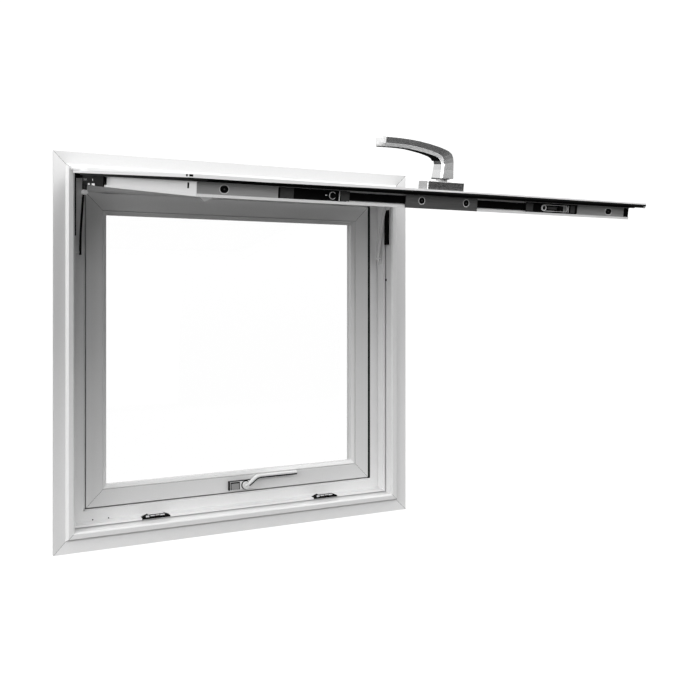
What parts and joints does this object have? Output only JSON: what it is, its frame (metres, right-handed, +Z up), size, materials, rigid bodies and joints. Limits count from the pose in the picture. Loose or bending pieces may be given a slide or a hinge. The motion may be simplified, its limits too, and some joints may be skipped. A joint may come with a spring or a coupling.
{
  "type": "top hung awning window",
  "caption": "Aluminium awning window with trim frame, closed outward glazed sash and an inner screen sash swung open into the room, with lever handle and black hardware",
  "frame": {"origin": "on the back of the sill trim flange, midway along it and midway up the strip that bears on the wall", "axes": "+X to the right and +Z up as seen from the room, +Y out of the building through the wall"},
  "size_m": [0.925, 0.9429, 0.9],
  "materials": {
    "white_paint": "gloss",
    "grey_paint": "gloss",
    "bead_paint": "gloss",
    "end_plate": "satin",
    "cam_paint": "satin",
    "black_hardware": "satin",
    "plate_steel": "satin",
    "handle_satin": "satin",
    "rubber": "matte",
    "screen_steel": "satin",
    "glass": "gloss"
  },
  "bodies": {
    "frame": {"trim_head": "white_paint", "trim_sill": "white_paint", "trim_left": "white_paint", "trim_right": "white_paint", "frame_head": "white_paint", "frame_sill": "white_paint", "frame_jamb_left": "white_paint", "frame_jamb_right": "white_paint", "strikers": "black_hardware", "inner_hinge_bracket_left": "white_paint", "inner_hinge_bracket_right": "white_paint", "outer_hinge_bracket_left": "black_hardware", "outer_hinge_bracket_right": "black_hardware", "stay_tracks": "black_hardware", "stay_feet": "white_paint"},
    "inner_sash": {"inner_top_rail": "white_paint", "inner_bottom_rail": "white_paint", "inner_stile_left": "white_paint", "inner_stile_right": "white_paint", "inner_gasket": "rubber", "inner_screen": "screen_steel", "inner_hinge_leaf_left": "white_paint", "inner_hinge_leaf_right": "white_paint", "stay_slide_left": "black_hardware", "stay_slide_right": "black_hardware", "gearbox_plate": "plate_steel", "lock_case_left": "black_hardware", "lock_case_right": "black_hardware", "groove_end_plates": "end_plate", "corner_tab": "end_plate", "handle_rosette": "handle_satin"},
    "lever": {"lever_handle": "handle_satin"},
    "lock_rod": {"lock_rod": "black_hardware"},
    "outer_sash": {"outer_top_rail": "grey_paint", "outer_bottom_rail": "grey_paint", "outer_stile_left": "grey_paint", "outer_stile_right": "grey_paint", "glazing_bead_top": "bead_paint", "glazing_bead_bottom": "bead_paint", "glazing_bead_left": "bead_paint", "glazing_bead_right": "bead_paint", "glass_pane": "glass", "outer_hinge_leaf_left": "black_hardware", "outer_hinge_leaf_right": "black_hardware", "cam_plate": "cam_paint"},
    "cam_handle": {"cam_lever": "cam_paint"},
    "left_stay": {"stay_arm_left": "plate_steel"},
    "right_stay": {"stay_arm_right": "plate_steel"}
  },
  "joints": [
    {"name": "inner_sash_swing", "type": "hinge", "parent": "frame", "child": "inner_sash", "pos_m": [0, -0.029, 0.8455], "axis": [-1, 0, 0], "range_deg": [-82.04, 7.96]},
    {"name": "lever_turn", "type": "hinge", "parent": "inner_sash", "child": "lever", "pos_m": [0, -0.81763, 0.73018], "axis": [0, 0.1385, -0.9904], "range_deg": [0, 90]},
    {"name": "lock_slide", "type": "slide", "parent": "inner_sash", "child": "lock_rod", "axis": [-1, 0, 0], "range_m": [0, 0.018]},
    {"name": "outer_sash_swing", "type": "hinge", "parent": "frame", "child": "outer_sash", "pos_m": [0, 0.097, 0.8175], "axis": [1, 0, 0], "range_deg": [0, 40]},
    {"name": "cam_handle_turn", "type": "hinge", "parent": "outer_sash", "child": "cam_handle", "pos_m": [0.0175, 0.042, 0.0845], "axis": [0, -1, 0], "range_deg": [0, 90]},
    {"name": "left_stay_lean", "type": "hinge", "parent": "frame", "child": "left_stay", "pos_m": [-0.3965, 0.03, 0.662], "axis": [1, 0, 0], "range_deg": [-19, 1.85]},
    {"name": "right_stay_lean", "type": "hinge", "parent": "frame", "child": "right_stay", "pos_m": [0.3965, 0.03, 0.662], "axis": [1, 0, 0], "range_deg": [-19, 1.85]}
  ],
  "couplings": [
    {"joint": "lock_slide", "follows": "lever_turn", "m_per_rad": 0.011448},
    {"joint": "left_stay_lean", "follows": "inner_sash_swing", "ratio": 0.23136},
    {"joint": "right_stay_lean", "follows": "inner_sash_swing", "ratio": 0.23136}
  ]
}
